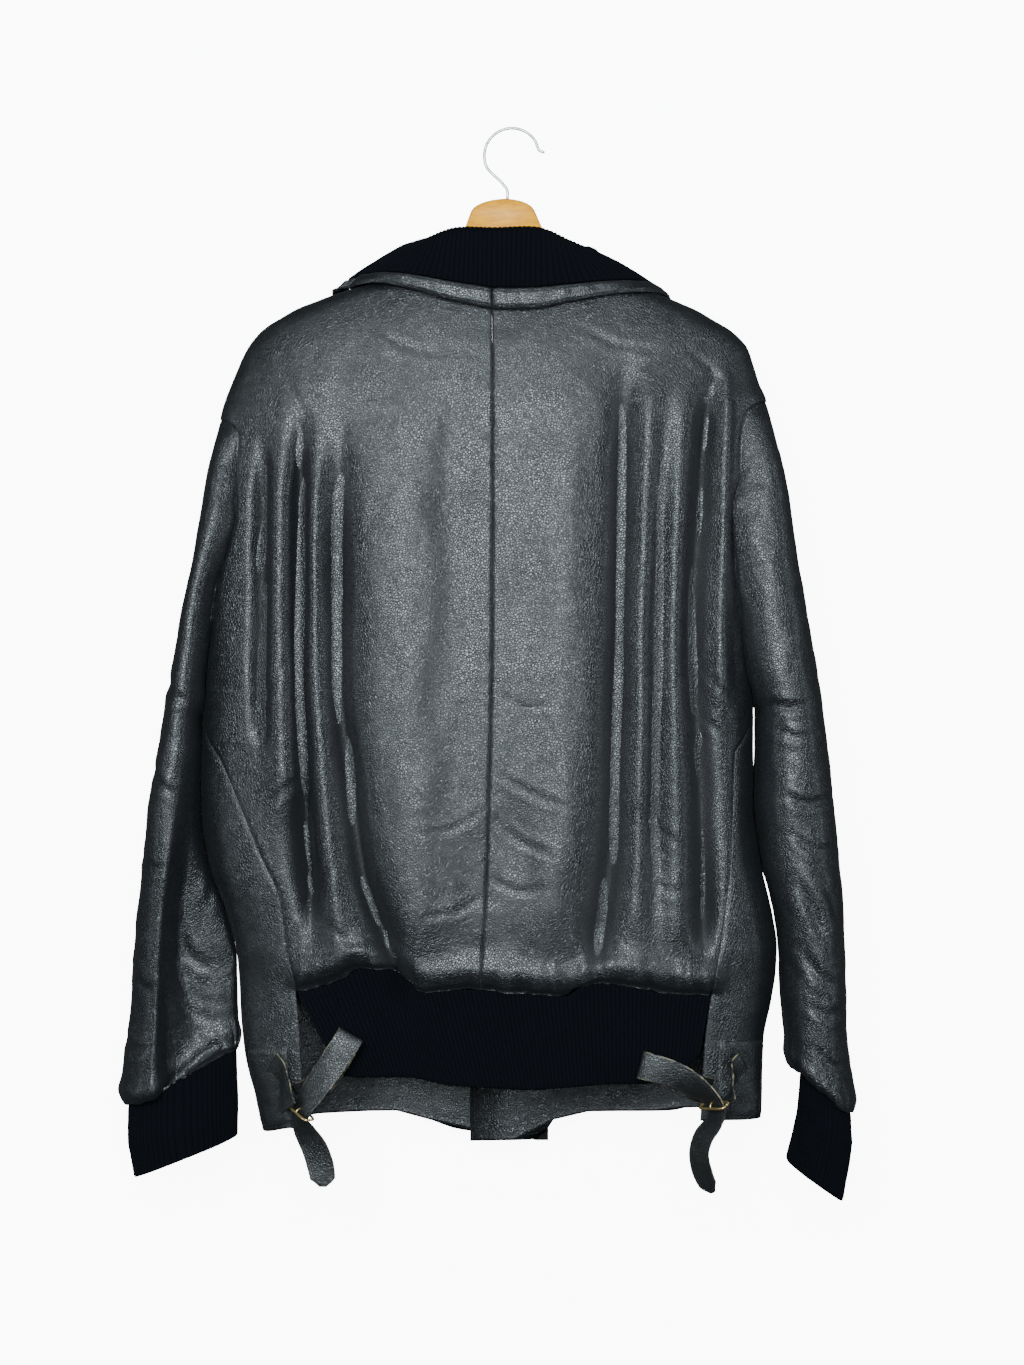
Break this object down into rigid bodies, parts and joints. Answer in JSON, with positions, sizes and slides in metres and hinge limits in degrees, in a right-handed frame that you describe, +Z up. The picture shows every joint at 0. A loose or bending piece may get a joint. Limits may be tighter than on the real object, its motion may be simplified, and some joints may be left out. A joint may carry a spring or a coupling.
{
  "type": "leather jacket on a wooden hanger",
  "caption": "Worn black leather bomber jacket with rib-knit collar, cuffs and waistband and buckled side straps, hung on a wooden hanger with a wire hook.",
  "frame": {"origin": "the inside top of the hanger's hook, where a rail would touch it", "axes": "+Z up, -Y out of the jacket's back, +Y out of its front, +X towards the wearer's right arm"},
  "size_m": [0.6462, 0.148, 0.9495],
  "materials": {
    "leather": "worn, soft grained black leather with a low sheen",
    "strap_leather": "worn black leather strap with raw tan edges",
    "rib_knit": "matte blue-black rib knit",
    "brass": "tarnished",
    "button": "dark, slightly glossy",
    "wood": "warm varnished beech",
    "chrome": "polished wire"
  },
  "bodies": {
    "root": {"back_left": "leather", "back_right": "leather", "front_left": "leather", "front_right": "leather", "sleeve_left": "leather", "sleeve_right": "leather", "collar_band_left": "leather", "collar_band_right": "leather", "hem_patch_left": "leather", "hem_patch_right": "leather", "strap_left": "strap_leather", "strap_right": "strap_leather", "buckle_strap_left": "strap_leather", "buckle_strap_right": "strap_leather", "waist_rib": "rib_knit", "cuff_left": "rib_knit", "cuff_right": "rib_knit", "collar_knit": "rib_knit", "buckle_left": "brass", "buckle_right": "brass", "button_1": "button", "button_2": "button", "button_3": "button", "button_4": "button", "button_5": "button", "button_6": "button", "hanger_wood": "wood", "hanger_hook": "chrome"}
  },
  "joints": []
}
